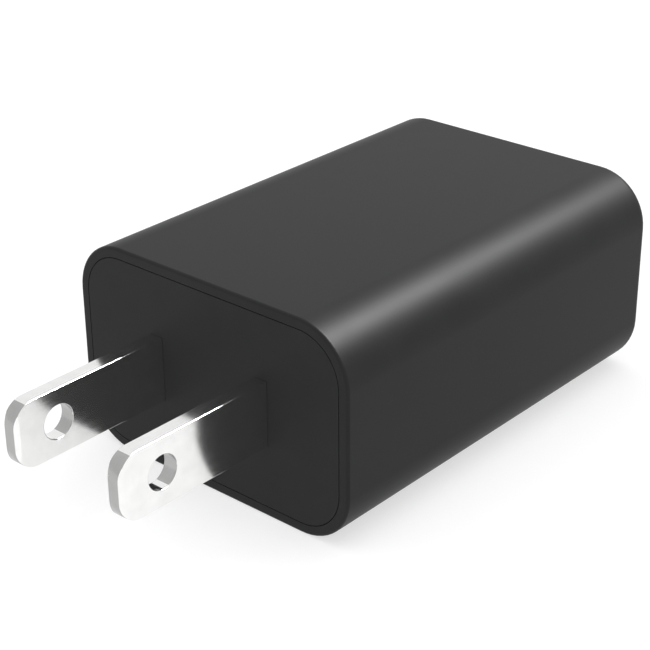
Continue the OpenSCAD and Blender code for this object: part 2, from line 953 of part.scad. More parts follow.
// Fixed end of a contact: the seat that holds the beam's root, the bar through the
// block, and the leg that goes down behind it to the board
module contact_tail(x, seat) {
    seat_half = 0.34;
    seat_l = 0.55;
    bar_gap = 0.3;
    leg_t = 0.3;
    y1 = contact_root.x;
    z = contact_root.y;
    difference() {
        translate([x, 0, 0]) {
            along_x(-contact_w / 2, contact_w / 2) {
                translate([tail_y - leg_t / 2, z - contact_t / 2])
                    square([y1 - bar_gap - tail_y, contact_t]);
                translate([tail_y - leg_t / 2, lead_end_z])
                    square([leg_t, z + contact_t / 2 - lead_end_z]);
                if (seat > 0)
                    translate([y1 - seat_l, z - seat_half])
                        square([seat_l, 2 * seat_half]);
            }
        }
        if (seat > 0)
            translate([x - contact_w, y1, z])
                rotate([0, 90, 0])
                    cylinder(r = contact_root_r + root_clearance, h = 2 * contact_w);
    }
}

module contact_tails() {
    color("#d2a94a")
        for (x = contact_x)
            contact_tail(x, 1);
}

// Sprung beam of a contact: a round root, a straight run down to the bump that meets
// the plug, and a lifted tip
module contact_beam(i) {
    x = contact_x[i];
    root = contact_root;
    bump = contact_bump - root;
    tip = contact_tip - root;
    half_t = contact_t / 2;
    color("#d2a94a")
        translate([x - contact_w / 2, root.x, root.y])
            rotate([contact_angle, 0, 0]) {
                rotate([0, 90, 0])
                    cylinder(r = contact_root_r, h = contact_w);
                along_x(0, contact_w)
                    polygon([
                        [0, -half_t], [bump.x - 0.25, bump.y], [bump.x + 0.25, bump.y],
                        [tip.x, tip.y - half_t], [tip.x - 0.05, tip.y + half_t],
                        [bump.x + 0.15, bump.y + contact_t], [bump.x - 0.2, bump.y + contact_t],
                        [0, half_t]
                    ]);
            }
}

module contact_spring_1() {
    contact_beam(0);
}

module contact_spring_2() {
    contact_beam(1);
}

module contact_spring_3() {
    contact_beam(2);
}

module contact_spring_4() {
    contact_beam(3);
}

housing_shell();
blade_plate();
blade_left();
blade_right();
live_lead();
neutral_lead();
main_board();
fuse_resistor();
fuse_sleeve();
choke_core();
choke_winding();
bulk_capacitor(-1);  // bulk_capacitor_left
bulk_capacitor(1);  // bulk_capacitor_right
bulk_seal(-1);  // bulk_seal_left
bulk_seal(1);  // bulk_seal_right
bridge_rectifier();
controller_chip();
clamp_diode();
chip_resistors();
chip_capacitors();
y_capacitor();
transformer_bobbin();
primary_winding();
secondary_winding();
winding_tape();
core_front();
core_rear();
core_tape();
transformer_pins();
output_capacitor(-1);  // output_capacitor_left
output_capacitor(1);  // output_capacitor_right
output_seal(-1);  // output_seal_left
output_seal(1);  // output_seal_right
output_diode();
component_leads();
solder_joints();
insulating_sheet();
usb_shell();
usb_insulator();
contact_tails();
contact_spring_1();
contact_spring_2();
contact_spring_3();
contact_spring_4();
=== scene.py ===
"""Looks of the USB wall charger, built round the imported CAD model.

Lengths are in metres, in the CAD frame: +X right, +Y from the blades to the port, +Z up.
The housing, the contacts and the choke's coil are built here with finer shapes. The other
pieces keep their CAD shapes, and most of them get fine round edges. Every piece has a
procedural material.
"""
import math

import bmesh
import bpy
from mathutils import Matrix, Vector


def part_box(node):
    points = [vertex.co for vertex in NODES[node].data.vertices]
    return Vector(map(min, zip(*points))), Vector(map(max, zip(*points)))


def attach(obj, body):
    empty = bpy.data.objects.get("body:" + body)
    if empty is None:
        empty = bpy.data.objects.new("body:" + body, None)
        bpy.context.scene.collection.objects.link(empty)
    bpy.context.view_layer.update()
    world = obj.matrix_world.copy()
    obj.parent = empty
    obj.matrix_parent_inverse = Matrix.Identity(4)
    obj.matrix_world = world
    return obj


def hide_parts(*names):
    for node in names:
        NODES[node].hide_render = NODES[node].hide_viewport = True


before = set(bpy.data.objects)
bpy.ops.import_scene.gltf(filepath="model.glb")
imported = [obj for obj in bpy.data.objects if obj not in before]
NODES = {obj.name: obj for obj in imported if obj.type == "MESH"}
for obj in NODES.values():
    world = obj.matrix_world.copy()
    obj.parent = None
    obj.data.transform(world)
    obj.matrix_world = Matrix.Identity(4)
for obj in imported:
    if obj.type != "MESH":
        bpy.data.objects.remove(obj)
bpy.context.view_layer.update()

MM = 0.001
FIXED = "charger"

# --- sizes ------------------------------------------------------------------------------

body_low, body_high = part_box("housing_shell")
plate_low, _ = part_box("blade_plate")
board_low, board_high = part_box("main_board")
shell_low, shell_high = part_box("usb_shell")
front_y = body_low.y
back_y = body_high.y
mid_z = (body_low.z + body_high.z) / 2
body_w = body_high.x - body_low.x
body_h = body_high.z - body_low.z

# Sizes of the CAD design that no box gives
CORNER_R = 5.4 * MM
FRONT_EDGE_R = 0.3 * MM
BACK_EDGE_R = 1.0 * MM
WALL = 1.8 * MM
PLATE_T = 1.8 * MM
SEAM = 0.06 * MM
APERTURE_GAP = 0.15 * MM
SHEET_T = 0.3 * MM
PORT_CORNER_R = 0.5 * MM
PORT_H = 5.12 * MM
RAIL_REACH = 1.2 * MM
RAIL_T = 1.1 * MM
CONTACT_T = 0.2 * MM
CONTACT_ROOT_R = 0.22 * MM

# Settings of the modifiers that round a CAD piece's edges
WELD_REACH = 0.0005 * MM
SAME_PLANE = math.radians(0.4)

# How far a limit between two materials keeps clear of the faces that end there
PAINT_MARGIN = 0.01 * MM


# --- mesh helpers -----------------------------------------------------------------------

def add_object(name, data):
    """Puts a mesh, a lamp or a camera into the scene."""
    obj = bpy.data.objects.new(name, data)
    bpy.context.scene.collection.objects.link(obj)
    return obj


def add_piece(name, bm, material, body, node):
    """Turns a bmesh into a piece that rides on a body and stands for a CAD node."""
    bmesh.ops.recalc_face_normals(bm, faces=bm.faces)
    for face in bm.faces:
        face.smooth = True
    mesh = bpy.data.meshes.new(name)
    bm.to_mesh(mesh)
    bm.free()
    mesh.materials.append(material)
    obj = add_object(name, mesh)
    flatten_normals(obj)
    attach(obj, body)
    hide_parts(node)
    return obj


def flatten_normals(obj):
    """Shades flat faces flat, so that only the small edge faces carry the turn."""
    modifier = obj.modifiers.new("normals", "WEIGHTED_NORMAL")
    modifier.mode = "FACE_AREA_WITH_ANGLE"
    modifier.weight = 100
    modifier.keep_sharp = True
    modifier.use_face_influence = True


def rounded_ring(width, height, radius, steps):
    """Points (u, v) round a rounded rectangle centred on the origin."""
    points = []
    for quarter, (su, sv) in enumerate(((1, 1), (-1, 1), (-1, -1), (1, -1))):
        centre = (su * (width / 2 - radius), sv * (height / 2 - radius))
        for step in range(steps + 1):
            angle = math.radians(90) * (quarter + step / steps)
            u = centre[0] + radius * math.cos(angle)
            v = centre[1] + radius * math.sin(angle)
            points.append((u, v))
    return points


def circle(centre, radius, steps):
    """Points (u, v) round a circle."""
    turns = [math.radians(360 / steps * step) for step in range(steps)]
    return [(centre.x + radius * math.cos(a), centre.y + radius * math.sin(a)) for a in turns]


def add_skin(bm, rings, closed):
    """Quads through rings of equal length. A closed skin joins its last ring to its first."""
    rows = [[bm.verts.new(point) for point in ring] for ring in rings]
    count = len(rows[0])
    last = len(rows) if closed else len(rows) - 1
    for i in range(last):
        lower = rows[i]
        upper = rows[(i + 1) % len(rows)]
        for j in range(count):
            k = (j + 1) % count
            bm.faces.new((lower[j], lower[k], upper[k], upper[j]))
    if not closed:
        bm.faces.new(rows[0])
        bm.faces.new(rows[-1][::-1])


def add_block(bm, low, high, edge):
    """Box between two corners with small flat edges."""
    centre = (low + high) / 2
    size = high - low
    place = Matrix.Translation(centre) @ Matrix.Diagonal((*size, 1))
    made = bmesh.ops.create_cube(bm, size=1, matrix=place)
    edges = {e for v in made["verts"] for e in v.link_edges}
    bmesh.ops.bevel(bm, geom=list(edges), offset=edge, segments=2, affect="EDGES")


def edge_arc(y, inset, radius, start, end, steps):
    """Stations (y, inset) along a round edge; 0 degrees faces the plug end, 90 outwards."""
    stations = []
    for step in range(steps + 1):
        angle = math.radians(start + (end - start) * step / steps)
        stations.append((y - radius * math.cos(angle), inset - radius * math.sin(angle)))
    return stations


# --- materials --------------------------------------------------------------------------

class Surface:
    """A Principled material with short ways to add noise, bands and bumps."""

    def __init__(self, name, colour, roughness, metallic=0.0, specular=0.5):
        self.material = bpy.data.materials.new(name)
        self.material.use_nodes = True
        self.tree = self.material.node_tree
        self.shader = self.tree.nodes["Principled BSDF"]
        self.shader.inputs["Base Color"].default_value = (*colour, 1)
        self.shader.inputs["Roughness"].default_value = roughness
        self.shader.inputs["Metallic"].default_value = metallic
        self.shader.inputs["Specular IOR Level"].default_value = specular
        self.coords = self.add("ShaderNodeTexCoord").outputs["Object"]
        self.height = None

    def add(self, kind):
        return self.tree.nodes.new(kind)

    def link(self, output, target):
        self.tree.links.new(output, target)

    def stretched(self, scale):
        """Object coordinates in metres, scaled along each axis."""
        mapping = self.add("ShaderNodeMapping")
        mapping.inputs["Scale"].default_value = scale
        self.link(self.coords, mapping.inputs["Vector"])
        return mapping.outputs["Vector"]

    def noise(self, scale, detail=3.0):
        """Soft random texture, from 0 to 1."""
        node = self.add("ShaderNodeTexNoise")
        node.inputs["Scale"].default_value = 1.0
        node.inputs["Detail"].default_value = detail
        self.link(self.stretched(scale), node.inputs["Vector"])
        return node.outputs["Fac"]

    def cells(self, scale):
        """Square-edged patches."""
        node = self.add("ShaderNodeTexVoronoi")
        node.distance = "CHEBYCHEV"
        node.inputs["Scale"].default_value = 1.0
        self.link(self.stretched(scale), node.inputs["Vector"])
        return node.outputs["Distance"]

    def bands(self, axis, per_metre):
        """Even bands across an axis, such as the turns of a coil."""
        node = self.add("ShaderNodeTexWave")
        node.bands_direction = axis
        node.inputs["Scale"].default_value = per_metre * math.pi / 10
        self.link(self.coords, node.inputs["Vector"])
        return node.outputs["Fac"]

    def along(self, axis):
        """Place along an axis of the piece's own box, from 0 to 1."""
        node = self.add("ShaderNodeSeparateXYZ")
        generated = self.add("ShaderNodeTexCoord").outputs["Generated"]
        self.link(generated, node.inputs["Vector"])
        return node.outputs[axis]

    def span(self, value, low, high):
        """Maps a 0..1 texture onto low..high."""
        node = self.add("ShaderNodeMapRange")
        node.inputs["To Min"].default_value = low
        node.inputs["To Max"].default_value = high
        self.link(value, node.inputs["Value"])
        return node.outputs["Result"]

    def blend(self, value, stops, stepped):
        """Colour ramp over a 0..1 texture; stops are (place, colour)."""
        node = self.add("ShaderNodeValToRGB")
        ramp = node.color_ramp
        if stepped:
            ramp.interpolation = "CONSTANT"
        while len(ramp.elements) < len(stops):
            ramp.elements.new(0.5)
        for element, (place, colour) in zip(ramp.elements, stops):
            element.position = place
            element.color = (*colour, 1)
        self.link(value, node.inputs["Fac"])
        return node.outputs["Color"]

    def colour(self, value, stops, stepped=False):
        """Colours the surface by a texture, with steps or with smooth changes."""
        self.link(self.blend(value, stops, stepped), self.shader.inputs["Base Color"])

    def roughness(self, value, low, high):
        """Varies the roughness from low to high by a texture."""
        self.link(self.span(value, low, high), self.shader.inputs["Roughness"])

    def bump(self, value, depth, strength):
        """Adds a relief of this depth in metres, on top of any earlier one."""
        node = self.add("ShaderNodeBump")
        node.inputs["Distance"].default_value = depth
        node.inputs["Strength"].default_value = strength
        self.link(value, node.inputs["Height"])
        if self.height is not None:
            self.link(self.height, node.inputs["Normal"])
        self.height = node.outputs["Normal"]
        self.link(self.height, self.shader.inputs["Normal"])


def even(scale):
    """The same texture scale along all three axes."""
    return (scale, scale, scale)


def shade(colour, factor):
    """The colour made darker or lighter."""
    return tuple(c * factor for c in colour)


def moulded_plastic(name, colour, roughness, specular=0.5):
    """Moulded plastic: spark-eroded grain and a faint cloudiness of the gloss."""
    surface = Surface(name, colour, roughness, specular=specular)
    cloud = surface.noise(even(240))
    surface.roughness(cloud, roughness - 0.04, roughness + 0.04)
    surface.colour(cloud, [(0.3, shade(colour, 0.94)), (0.7, shade(colour, 1.06))])
    surface.bump(surface.noise(even(5000)), 0.004 * MM, 0.5)
    return surface.material


def charcoal_plastic(name):
    """Plastic of the housing and the blade plate, in the photograph's weak gloss."""
    return moulded_plastic(name, (0.0172, 0.0172, 0.0174), 0.44, specular=0.09)


def plated_blade(name, tone, roughness):
    """Nickel plate on a stamped blade: fine lines along the blade and slight waviness."""
    metal = (tone, tone, tone * 0.99)
    surface = Surface(name, metal, roughness, metallic=1.0)
    lines = surface.noise((9000, 500, 9000), 4)
    surface.roughness(lines, roughness - 0.03, roughness + 0.06)
    patches = surface.noise(even(700))
    surface.colour(patches, [(0.3, shade(metal, 0.965)), (0.7, shade(metal, 1.035))])
    surface.bump(lines, 0.0004 * MM, 0.4)
    surface.bump(surface.noise(even(260), 1), 0.004 * MM, 0.25)
    return surface.material


def rolled_sheet():
    """Nickel-plated sheet of the receptacle, with rolling lines across it."""
    surface = Surface("rolled_sheet", (0.62, 0.61, 0.59), 0.24, metallic=1.0)
    lines = surface.noise((500, 8000, 8000), 4)
    surface.roughness(lines, 0.18, 0.32)
    surface.colour(lines, [(0.3, (0.57, 0.56, 0.54)), (0.7, (0.67, 0.66, 0.64))])
    surface.bump(lines, 0.0006 * MM, 0.4)
    return surface.material


def gold_contact():
    """Thin gold over nickel, a little worn along the strip."""
    surface = Surface("gold_contact", (0.83, 0.6, 0.24), 0.2, metallic=1.0)
    wear = surface.noise((3500, 900, 3500))
    surface.colour(wear, [(0.35, (0.86, 0.62, 0.25)), (0.75, (0.74, 0.6, 0.36))])
    surface.roughness(wear, 0.14, 0.28)
    surface.bump(wear, 0.0006 * MM, 0.4)
    return surface.material


def tinned_metal():
    """Dipped tin on the leads and pins, slightly mottled."""
    surface = Surface("tinned_metal", (0.66, 0.66, 0.65), 0.3, metallic=1.0)
    mottle = surface.noise(even(2500))
    surface.colour(mottle, [(0.3, (0.6, 0.6, 0.59)), (0.7, (0.72, 0.72, 0.71))])
    surface.roughness(mottle, 0.22, 0.4)
    surface.bump(mottle, 0.002 * MM, 0.5)
    return surface.material


def solder():
    """Solder fillets: bright, with a soft frosty skin."""
    surface = Surface("solder", (0.62, 0.63, 0.63), 0.28, metallic=1.0)
    frost = surface.noise(even(6000), 5)
    surface.roughness(frost, 0.18, 0.45)
    surface.colour(frost, [(0.35, (0.56, 0.57, 0.57)), (0.7, (0.68, 0.69, 0.69))])
    surface.bump(frost, 0.006 * MM, 0.6)
    return surface.material


def wire_jacket(name, colour):
    """Soft insulation with faint drawing lines."""
    surface = Surface(name, colour, 0.4)
    lines = surface.noise((2500, 2500, 600))
    surface.roughness(lines, 0.34, 0.5)
    surface.colour(lines, [(0.3, shade(colour, 0.88)), (0.7, colour)])
    surface.bump(lines, 0.004 * MM, 0.5)
    return surface.material


def board_top():
    """Paper laminate, with the weave just showing."""
    surface = Surface("board_top", (0.36, 0.25, 0.1), 0.5)
    weave = surface.noise((3000, 500, 3000))
    surface.colour(weave, [(0.3, (0.32, 0.21, 0.08)), (0.7, (0.42, 0.3, 0.13))])
    surface.roughness(weave, 0.42, 0.6)
    surface.bump(weave, 0.004 * MM, 0.5)
    return surface.material


def board_mask():
    """Green solder mask over broad copper areas, raised a little where the copper is."""
    surface = Surface("board_mask", (0.02, 0.16, 0.07), 0.25)
    areas = surface.cells((330, 260, 330))
    surface.colour(areas, [(0.42, (0.022, 0.18, 0.078)), (0.47, (0.014, 0.12, 0.054))])
    surface.roughness(surface.noise(even(900)), 0.2, 0.32)
    surface.bump(areas, 0.03 * MM, 0.5)
    return surface.material


def ferrite():
    """Grey ferrite with a coarse sintered grain."""
    surface = Surface("ferrite", (0.05, 0.05, 0.053), 0.6)
    grain = surface.noise(even(4500), 6)
    surface.colour(grain, [(0.35, (0.035, 0.035, 0.037)), (0.7, (0.085, 0.085, 0.088))])
    surface.roughness(grain, 0.5, 0.72)
    surface.bump(grain, 0.015 * MM, 0.6)
    return surface.material


def enamelled_copper():
    """Copper wire under clear enamel."""
    surface = Surface("enamelled_copper", (0.6, 0.22, 0.07), 0.22, metallic=1.0)
    tint = surface.noise(even(900))
    surface.colour(tint, [(0.3, (0.52, 0.17, 0.05)), (0.7, (0.7, 0.28, 0.1))])
    surface.roughness(tint, 0.16, 0.3)
    surface.bump(surface.noise((600, 600, 4000)), 0.002 * MM, 0.4)
    return surface.material


def wound_layer(name, colour, per_metre, metallic, roughness):
    """Layer of a coil wound along Y, one bead for each turn, with painted shade in the grooves
    between turns.
    """
    surface = Surface(name, colour, roughness, metallic=metallic)
    turns = surface.bands("Y", per_metre)
    # Painted shade: the colour darkens to 35 percent in the grooves between turns, where the bump
    # dips
    surface.colour(turns, [(0.1, shade(colour, 0.35)), (0.5, colour)])
    surface.roughness(surface.noise(even(2500)), roughness - 0.05, roughness + 0.08)
    surface.bump(turns, 0.08 * MM, 0.8)
    return surface.material


def polyester_tape():
    """Yellow transformer tape with its wrapped edges and small creases."""
    surface = Surface("polyester_tape", (0.75, 0.5, 0.06), 0.3)
    creases = surface.noise((700, 2600, 700))
    surface.colour(creases, [(0.3, (0.66, 0.42, 0.045)), (0.7, (0.82, 0.57, 0.09))])
    surface.roughness(creases, 0.22, 0.42)
    surface.bump(creases, 0.02 * MM, 0.5)
    return surface.material


def printed_sleeve(name, colour, stripe, axis):
    """Shrink sleeve on a capacitor, with a pale stripe down one side for the negative lead."""
    surface = Surface(name, colour, 0.3)
    surface.colour(surface.along(axis), [(0.9, colour), (0.92, stripe)])
    wrinkle = surface.noise(even(1400))
    surface.roughness(wrinkle, 0.22, 0.42)
    surface.bump(wrinkle, 0.01 * MM, 0.4)
    return surface.material


def can_aluminium():
    """Drawn aluminium at a capacitor's bare end."""
    surface = Surface("can_aluminium", (0.75, 0.75, 0.76), 0.3, metallic=1.0)
    mottle = surface.noise(even(4000), 4)
    surface.roughness(mottle, 0.24, 0.42)
    surface.colour(mottle, [(0.3, (0.7, 0.7, 0.71)), (0.7, (0.8, 0.8, 0.81))])
    surface.bump(mottle, 0.002 * MM, 0.4)
    return surface.material


def glazed_rod():
    """Fusible resistor: glazed ceramic with colour rings along Z."""
    glaze = (0.12, 0.32, 0.27)
    red = (0.35, 0.03, 0.02)
    black = (0.02, 0.02, 0.02)
    gold = (0.7, 0.6, 0.1)
    surface = Surface("glazed_rod", glaze, 0.3)
    rings = [(0.0, glaze), (0.62, glaze), (0.63, red), (0.68, glaze),
             (0.74, black), (0.79, glaze), (0.9, gold), (0.95, glaze)]
    surface.colour(surface.along("Z"), rings, stepped=True)
    surface.bump(surface.noise(even(3000)), 0.006 * MM, 0.5)
    return surface.material


def chip_epoxy():
    """Black moulding compound with a fine matt grain."""
    surface = Surface("chip_epoxy", (0.018, 0.018, 0.019), 0.55)
    grain = surface.noise(even(7000), 5)
    surface.colour(grain, [(0.3, (0.012, 0.012, 0.013)), (0.7, (0.028, 0.028, 0.03))])
    surface.roughness(grain, 0.48, 0.66)
    surface.bump(grain, 0.008 * MM, 0.6)
    return surface.material


def fired_ceramic(name, colour):
    """Ceramic of a small chip, with a fine grain."""
    surface = Surface(name, colour, 0.4)
    grain = surface.noise(even(5000), 5)
    surface.colour(grain, [(0.3, shade(colour, 0.85)), (0.7, colour)])
    surface.roughness(grain, 0.32, 0.5)
    surface.bump(grain, 0.006 * MM, 0.5)
    return surface.material


def dipped_coat():
    """Blue epoxy dip of a disc capacitor: glossy and slightly lumpy."""
    surface = Surface("dipped_coat", (0.03, 0.14, 0.42), 0.2)
    lumps = surface.noise(even(800), 2)
    surface.colour(lumps, [(0.3, (0.025, 0.12, 0.37)), (0.7, (0.04, 0.17, 0.48))])
    surface.roughness(lumps, 0.14, 0.28)
    surface.bump(lumps, 0.06 * MM, 0.6)
    return surface.material


def rubber(name, colour):
    """Dull rubber with a soft grain."""
    surface = Surface(name, colour, 0.65, specular=0.3)
    grain = surface.noise(even(3500), 4)
    surface.colour(grain, [(0.3, shade(colour, 0.8)), (0.7, colour)])
    surface.roughness(grain, 0.58, 0.75)
    surface.bump(grain, 0.01 * MM, 0.5)
    return surface.material


def fish_paper():
    """Insulating sheet: pale pressed fibre."""
    surface = Surface("fish_paper", (0.72, 0.68, 0.55), 0.7)
    fibres = surface.noise((900, 900, 4200), 5)
    surface.colour(fibres, [(0.3, (0.66, 0.61, 0.47)), (0.7, (0.78, 0.74, 0.62))])
    surface.roughness(fibres, 0.6, 0.8)
    surface.bump(fibres, 0.01 * MM, 0.5)
    return surface.material


# --- pieces built here ------------------------------------------------------------------

def housing_rings():
    """The housing's skin: rim, sides, port face, opening, and back along the inside."""
    lip_r = 0.03 * MM
    hole_edge_r = 0.22 * MM
    rim_w = plate_low.x - body_low.x - SEAM
    ledge_y = front_y + PLATE_T
    inner_back_y = back_y - WALL
    hole_w = shell_high.x - shell_low.x + 2 * APERTURE_GAP
    hole_h = PORT_H + 2 * (SHEET_T + APERTURE_GAP)
    hole_r = PORT_CORNER_R + SHEET_T
    steps = 14

    def body_ring(y, inset):
        points = rounded_ring(body_w - 2 * inset, body_h - 2 * inset, CORNER_R - inset, steps)
        return [(x, y, mid_z + z) for x, z in points]

    def hole_ring(y, grow):
        points = rounded_ring(hole_w + 2 * grow, hole_h + 2 * grow, hole_r + grow, steps)
        return [(x, y, mid_z + z) for x, z in points]

    outside = edge_arc(front_y + lip_r, rim_w - lip_r, lip_r, -90, 0, 3)
    outside += edge_arc(front_y + FRONT_EDGE_R, FRONT_EDGE_R, FRONT_EDGE_R, 0, 90, 6)
    outside += edge_arc(back_y - BACK_EDGE_R, BACK_EDGE_R, BACK_EDGE_R, 90, 180, 10)
    opening = edge_arc(back_y - hole_edge_r, hole_edge_r, hole_edge_r, 180, 90, 5)
    opening.append((inner_back_y, 0))
    inside = [(inner_back_y, WALL), (ledge_y, WALL), (ledge_y, rim_w)]
    rings = [body_ring(y, inset) for y, inset in outside]
    rings += [hole_ring(y, grow) for y, grow in opening]
    rings += [body_ring(y, inset) for y, inset in inside]
    return rings


def build_housing(material):
    """The cup, with two rails a side that hold the board's edges between them."""
    rail_root = 0.3 * MM
    rail_edge = 0.1 * MM
    bm = bmesh.new()
    add_skin(bm, housing_rings(), closed=True)
    wall_x = body_high.x - WALL
    for z in (board_low.z - RAIL_T, board_high.z):
        for side in (-1, 1):
            ends = sorted((side * (wall_x - RAIL_REACH), side * (wall_x + rail_root)))
            low = Vector((ends[0], board_low.y, z))
            high = Vector((ends[1], back_y - WALL + rail_root, z + RAIL_T))
            add_block(bm, low, high, rail_edge)
    return add_piece("housing", bm, material, FIXED, "housing_shell")


def contact_path(root, bump, tip):
    """Middle line of a contact strip: straight run, round bump, lifted tip."""
    bend_start = 0.84
    bend_end = 0.55
    steps = 8
    entry = root.lerp(bump, bend_start)
    leave = bump.lerp(tip, bend_end)
    path = [root, root.lerp(entry, 0.5)]
    for step in range(steps + 1):
        t = step / steps
        path.append(entry.lerp(bump, t).lerp(bump.lerp(leave, t), t))
    path.append(tip)
    return path


def build_contact(number, material):
    """One sprung contact: a rolled root and a strip bent to a smooth bump."""
    edge = 0.05 * MM
    bump_back = 0.9 * MM
    bump_rise = 0.42 * CONTACT_T
    tip_back = 0.03 * MM
    tip_rise = 0.53 * MM
    node = f"contact_spring_{number}"
    low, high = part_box(node)
    half_w = (high.x - low.x) / 2
    x = (low.x + high.x) / 2
    root = Vector((low.y + CONTACT_ROOT_R, high.z - CONTACT_ROOT_R))
    bump = Vector((high.y - bump_back, low.z + bump_rise))
    tip = Vector((high.y - tip_back, low.z + tip_rise))
    path = contact_path(root, bump, tip)
    section = rounded_ring(2 * half_w, CONTACT_T, edge, 3)
    rings = []
    for i, point in enumerate(path):
        run = path[min(i + 1, len(path) - 1)] - path[max(i - 1, 0)]
        up = Vector((-run.y, run.x)).normalized()
        rings.append([(x + u, point.x + v * up.x, point.y + v * up.y) for u, v in section])
    bm = bmesh.new()
    add_skin(bm, rings, closed=False)
    stations = ((-half_w, CONTACT_ROOT_R - edge), (-half_w + edge, CONTACT_ROOT_R),
                (half_w - edge, CONTACT_ROOT_R), (half_w, CONTACT_ROOT_R - edge))
    barrel = [[(x + along, y, z) for y, z in circle(root, r, 24)] for along, r in stations]
    add_skin(bm, barrel, closed=False)
    return add_piece(f"contact_strip_{number}", bm, material, f"contact_{number}", node)


def build_choke_coil(material):
    """Outer layer of the choke's coil as one round wire, over the layers below."""
    low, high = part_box("choke_winding")
    centre = (low + high) / 2
    wire_r = 0.16 * MM
    closest_rise = 2.02 * wire_r
    bore_r = 1.3 * MM
    coil_r = (high.x - low.x) / 2 - wire_r
    turns = int((high.z - low.z) / closest_rise) - 1
    rise = (high.z - low.z - 2 * wire_r) / turns
    per_turn = 30
    sides = [math.radians(60 * i) for i in range(6)]
    rings = []
    for step in range(turns * per_turn + 1):
        angle = math.radians(360) * step / per_turn
        z = low.z + wire_r + rise * step / per_turn
        ring = []
        for side in sides:
            r = coil_r + wire_r * math.cos(side)
            ring.append((centre.x + r * math.cos(angle), centre.y + r * math.sin(angle),
                         z + wire_r * math.sin(side)))
        rings.append(ring)
    bm = bmesh.new()
    add_skin(bm, rings, closed=False)
    corners = ((low.z, bore_r), (low.z, coil_r), (high.z, coil_r), (high.z, bore_r))
    under = [[(x, y, z) for x, y in circle(centre, r, 36)] for z, r in corners]
    add_skin(bm, under, closed=True)
    return add_piece("choke_coil", bm, material, FIXED, "choke_winding")


# --- CAD pieces -------------------------------------------------------------------------

def round_edges(node, width, segments=2, angle=35):
    """Small round edges on a CAD piece, whose mesh comes in split at its edges."""
    obj = NODES[node]
    for polygon in obj.data.polygons:
        polygon.use_smooth = True
    weld = obj.modifiers.new("weld", "WELD")
    weld.merge_threshold = WELD_REACH
    planes = obj.modifiers.new("planes", "DECIMATE")
    planes.decimate_type = "DISSOLVE"
    planes.angle_limit = SAME_PLANE
    planes.delimit = {"MATERIAL"}
    bevel = obj.modifiers.new("edges", "BEVEL")
    bevel.width = width
    bevel.segments = segments
    bevel.limit_method = "ANGLE"
    bevel.angle_limit = math.radians(angle)
    bevel.harden_normals = True
    bevel.face_strength_mode = "FSTR_ALL"
    flatten_normals(obj)


def paint(node, *materials):
    """Gives a CAD piece its materials; all its faces start with the first."""
    obj = NODES[node]
    obj.data.materials.clear()
    for material in materials:
        obj.data.materials.append(material)


def paint_faces(node, chosen):
    """Gives the second material to the faces for which chosen(face) is true."""
    for polygon in NODES[node].data.polygons:
        if chosen(polygon):
            polygon.material_index = 1


def separate_solids(mesh):
    """Groups of face numbers, one for each solid in a mesh that is split at its edges."""
    owner = {}

    def find(key):
        while owner[key] != key:
            owner[key] = owner[owner[key]]
            key = owner[key]
        return key

    spots = [tuple(round(c / (0.001 * MM)) for c in vertex.co) for vertex in mesh.vertices]
    for spot in spots:
        owner[spot] = spot
    for polygon in mesh.polygons:
        first = find(spots[polygon.vertices[0]])
        for index in polygon.vertices[1:]:
            owner[find(spots[index])] = first
    groups = {}
    for polygon in mesh.polygons:
        groups.setdefault(find(spots[polygon.vertices[0]]), []).append(polygon.index)
    return list(groups.values())


def paint_where(node, inside):
    """Gives the second material to faces for which inside(face centre, low, high) is true."""
    mesh = NODES[node].data
    for group in separate_solids(mesh):
        corners = [mesh.vertices[i].co for face in group for i in mesh.polygons[face].vertices]
        low = Vector([min(c[k] for c in corners) for k in range(3)])
        high = Vector([max(c[k] for c in corners) for k in range(3)])
        for face in group:
            polygon = mesh.polygons[face]
            if inside(polygon.center, low, high):
                polygon.material_index = 1


def finish_chip(node, epoxy, metal, lead_reach):
    """Epoxy body between two rows of tinned leads along Y."""
    paint(node, epoxy, metal)
    reach = lead_reach - PAINT_MARGIN

    def on_lead(centre, low, high):
        return not low.y + reach < centre.y < high.y - reach

    paint_where(node, on_lead)
    round_edges(node, 0.05 * MM)


def finish_small_chips(node, ceramic, metal):
    """Small two-ended chips, whose end caps stand slightly proud."""
    cap_l = 0.5 * MM
    paint(node, ceramic, metal)
    reach = cap_l + PAINT_MARGIN

    def on_cap(centre, low, high):
        return not low.x + reach < centre.x < high.x - reach

    paint_where(node, on_cap)
    round_edges(node, 0.015 * MM)


def finish_can(node, sleeve, metal, axis, closed_side):
    """Capacitor can: sleeved sides and a bare closed end with its vent grooves."""
    rim = 0.42 * MM
    vent_depth = 0.25 * MM
    paint(node, sleeve, metal)

    def on_end(centre, low, high):
        end = high[axis] if closed_side > 0 else low[axis]
        middle = (low + high) / 2
        off = centre - middle
        off[axis] = 0
        radius = (high.y - low.y) / 2
        return abs(centre[axis] - end) < vent_depth and off.length < radius - rim

    paint_where(node, on_end)
    round_edges(node, 0.04 * MM, angle=50)


def finish_board(top, mask):
    """Bare laminate above, solder mask with its copper below."""
    facing_down = -0.9
    paint("main_board", top, mask)
    paint_faces("main_board", lambda face: face.normal.z < facing_down)


def finish_blade(node, plate, cut):
    """Bright sides, and cut faces round the tip and in the back of the hole that are duller and
    darker: their roughness is their own, their darker tone is painted shade.
    """
    facing_out = -0.4
    paint(node, plate, cut)
    # Painted shade: faces turned towards the tip get the darker copy of the plating
    paint_faces(node, lambda face: face.normal.y < facing_out)
    round_edges(node, 0.12 * MM, segments=3, angle=15)


